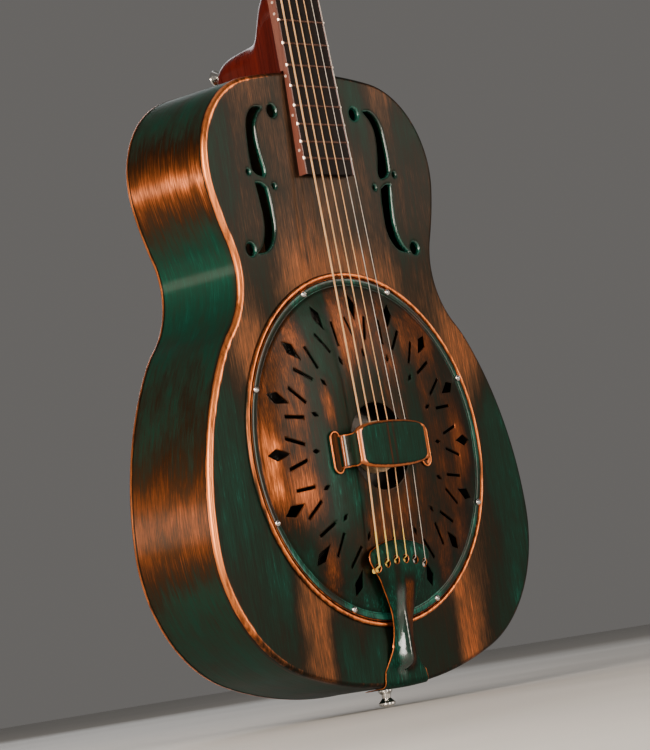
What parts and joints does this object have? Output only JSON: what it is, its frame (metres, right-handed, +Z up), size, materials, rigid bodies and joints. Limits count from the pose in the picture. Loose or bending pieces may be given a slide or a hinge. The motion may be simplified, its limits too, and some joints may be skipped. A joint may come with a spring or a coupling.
{
  "type": "resonator guitar",
  "caption": "Metal-bodied string instrument: plucked strings drive a spun metal cone under a pierced round cover; slotted head with geared tuning keys.",
  "frame": {"origin": "on the body's tail end, where the end pin seats on the tailpiece strap", "axes": "+Z up the neck towards the headstock, -Y out of the front, +X towards the treble side"},
  "size_m": [0.3688, 0.1219, 1.0229],
  "materials": {
    "patina_body": "brushed copper under green patina, clear coated",
    "patina_fittings": "brushed copper under green patina, clear coated",
    "inner_steel": "matt dark coat",
    "spun_aluminium": "spun",
    "maple": "satin",
    "mahogany": "gloss lacquer",
    "spruce_inside": "raw",
    "ebony": "oiled",
    "binding": "satin lacquer",
    "nickel": "polished",
    "fret_wire": "polished",
    "bone": "polished bone",
    "wound_string": "bronze wound",
    "plain_string": "bright steel",
    "gear_brass": "satin",
    "button_metal": "polished",
    "rod_steel": "plain"
  },
  "bodies": {
    "root": {"top_plate": "patina_body", "body_sides": "patina_body", "back_plate": "patina_body", "soundwell": "inner_steel", "cone": "spun_aluminium", "biscuit": "maple", "saddle": "maple", "biscuit_screw": "nickel", "coverplate": "patina_fittings", "coverplate_screws": "nickel", "handrest": "patina_fittings", "tailpiece": "patina_fittings", "end_pin": "nickel", "heel_button": "nickel", "strap_button_screws": "nickel", "tail_block": "spruce_inside", "neck_stick": "spruce_inside", "truss_rod": "rod_steel", "neck": "mahogany", "fretboard": "ebony", "fretboard_binding": "binding", "frets": "fret_wire", "side_dots": "bone", "nut": "bone", "string_1": "plain_string", "string_2": "plain_string", "string_3": "wound_string", "string_4": "wound_string", "string_5": "wound_string", "string_6": "wound_string", "headstock": "mahogany", "headstock_veneer": "ebony", "truss_rod_cover": "ebony", "headstock_screws": "nickel", "tuner_plate_treble": "nickel", "tuner_plate_bass": "nickel"},
    "key_6": {"worm_shaft_6": "nickel", "button_6": "button_metal"},
    "post_6": {"gear_6": "gear_brass", "string_post_6": "nickel"},
    "key_5": {"worm_shaft_5": "nickel", "button_5": "button_metal"},
    "post_5": {"gear_5": "gear_brass", "string_post_5": "nickel"},
    "key_4": {"worm_shaft_4": "nickel", "button_4": "button_metal"},
    "post_4": {"gear_4": "gear_brass", "string_post_4": "nickel"},
    "key_3": {"worm_shaft_3": "nickel", "button_3": "button_metal"},
    "post_3": {"gear_3": "gear_brass", "string_post_3": "nickel"},
    "key_2": {"worm_shaft_2": "nickel", "button_2": "button_metal"},
    "post_2": {"gear_2": "gear_brass", "string_post_2": "nickel"},
    "key_1": {"worm_shaft_1": "nickel", "button_1": "button_metal"},
    "post_1": {"gear_1": "gear_brass", "string_post_1": "nickel"}
  },
  "joints": [
    {"name": "key_turn_6", "type": "hinge", "parent": "root", "child": "key_6", "pos_m": [-0.0408, 0.01764, 0.89466], "axis": [0, 0.9554, -0.2954], "continuous": true},
    {"name": "post_turn_6", "type": "hinge", "parent": "root", "child": "post_6", "pos_m": [-0.0408, 0.01532, 0.88716], "axis": [1, 0, 0], "continuous": true},
    {"name": "key_turn_5", "type": "hinge", "parent": "root", "child": "key_5", "pos_m": [-0.0408, 0.02886, 0.93097], "axis": [0, 0.9554, -0.2954], "continuous": true},
    {"name": "post_turn_5", "type": "hinge", "parent": "root", "child": "post_5", "pos_m": [-0.0408, 0.02654, 0.92347], "axis": [1, 0, 0], "continuous": true},
    {"name": "key_turn_4", "type": "hinge", "parent": "root", "child": "key_4", "pos_m": [-0.0408, 0.04009, 0.96727], "axis": [0, 0.9554, -0.2954], "continuous": true},
    {"name": "post_turn_4", "type": "hinge", "parent": "root", "child": "post_4", "pos_m": [-0.0408, 0.03777, 0.95977], "axis": [1, 0, 0], "continuous": true},
    {"name": "key_turn_3", "type": "hinge", "parent": "root", "child": "key_3", "pos_m": [0.0408, 0.04009, 0.96727], "axis": [0, 0.9554, -0.2954], "continuous": true},
    {"name": "post_turn_3", "type": "hinge", "parent": "root", "child": "post_3", "pos_m": [0.0408, 0.03777, 0.95977], "axis": [1, 0, 0], "continuous": true},
    {"name": "key_turn_2", "type": "hinge", "parent": "root", "child": "key_2", "pos_m": [0.0408, 0.02886, 0.93097], "axis": [0, 0.9554, -0.2954], "continuous": true},
    {"name": "post_turn_2", "type": "hinge", "parent": "root", "child": "post_2", "pos_m": [0.0408, 0.02654, 0.92347], "axis": [1, 0, 0], "continuous": true},
    {"name": "key_turn_1", "type": "hinge", "parent": "root", "child": "key_1", "pos_m": [0.0408, 0.01764, 0.89466], "axis": [0, 0.9554, -0.2954], "continuous": true},
    {"name": "post_turn_1", "type": "hinge", "parent": "root", "child": "post_1", "pos_m": [0.0408, 0.01532, 0.88716], "axis": [1, 0, 0], "continuous": true}
  ],
  "couplings": [
    {"joint": "post_turn_6", "follows": "key_turn_6", "ratio": 0.071429},
    {"joint": "post_turn_5", "follows": "key_turn_5", "ratio": 0.071429},
    {"joint": "post_turn_4", "follows": "key_turn_4", "ratio": 0.071429},
    {"joint": "post_turn_3", "follows": "key_turn_3", "ratio": 0.071429},
    {"joint": "post_turn_2", "follows": "key_turn_2", "ratio": 0.071429},
    {"joint": "post_turn_1", "follows": "key_turn_1", "ratio": 0.071429}
  ]
}
